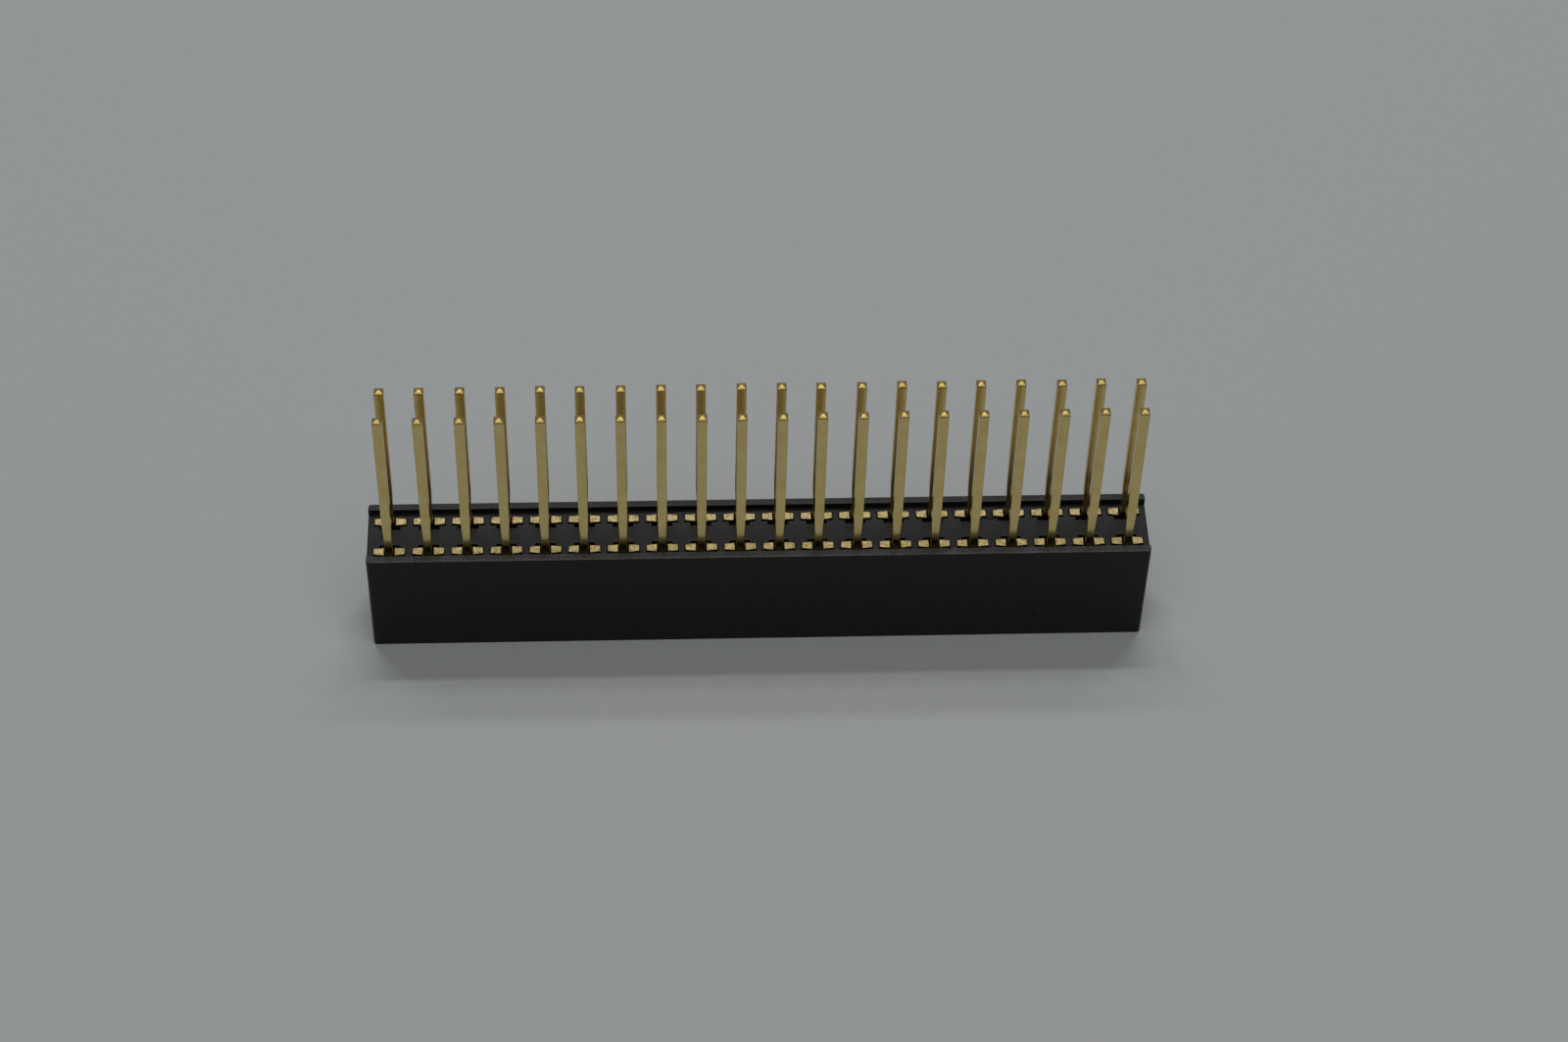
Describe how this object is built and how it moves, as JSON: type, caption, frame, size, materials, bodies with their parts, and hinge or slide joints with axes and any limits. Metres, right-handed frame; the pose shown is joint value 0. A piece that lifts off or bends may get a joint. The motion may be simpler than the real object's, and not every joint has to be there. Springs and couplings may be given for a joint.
{
  "type": "stacking female pin header",
  "caption": "Stacking female pin header: black moulded housing with two rows of fork sockets below and long square gold-plated tails above, 2.54 mm pitch.",
  "frame": {"origin": "centre of the mating face, the flat underside with the socket mouths, which the header stands on", "axes": "+X along the rows, +Y across them from row a to row b, +Z out along the tails"},
  "size_m": [0.0512, 0.005, 0.0209],
  "materials": {
    "housing": "fine matt moulded black thermoplastic",
    "contact": "bright thin gold plating over phosphor bronze; sheared tops of the shoulders are rougher"
  },
  "bodies": {
    "root": {"housing": "housing", "contact_a01": "contact", "contact_a02": "contact", "contact_a03": "contact", "contact_a04": "contact", "contact_a05": "contact", "contact_a06": "contact", "contact_a07": "contact", "contact_a08": "contact", "contact_a09": "contact", "contact_a10": "contact", "contact_a11": "contact", "contact_a12": "contact", "contact_a13": "contact", "contact_a14": "contact", "contact_a15": "contact", "contact_a16": "contact", "contact_a17": "contact", "contact_a18": "contact", "contact_a19": "contact", "contact_a20": "contact", "contact_b01": "contact", "contact_b02": "contact", "contact_b03": "contact", "contact_b04": "contact", "contact_b05": "contact", "contact_b06": "contact", "contact_b07": "contact", "contact_b08": "contact", "contact_b09": "contact", "contact_b10": "contact", "contact_b11": "contact", "contact_b12": "contact", "contact_b13": "contact", "contact_b14": "contact", "contact_b15": "contact", "contact_b16": "contact", "contact_b17": "contact", "contact_b18": "contact", "contact_b19": "contact", "contact_b20": "contact"}
  },
  "joints": []
}
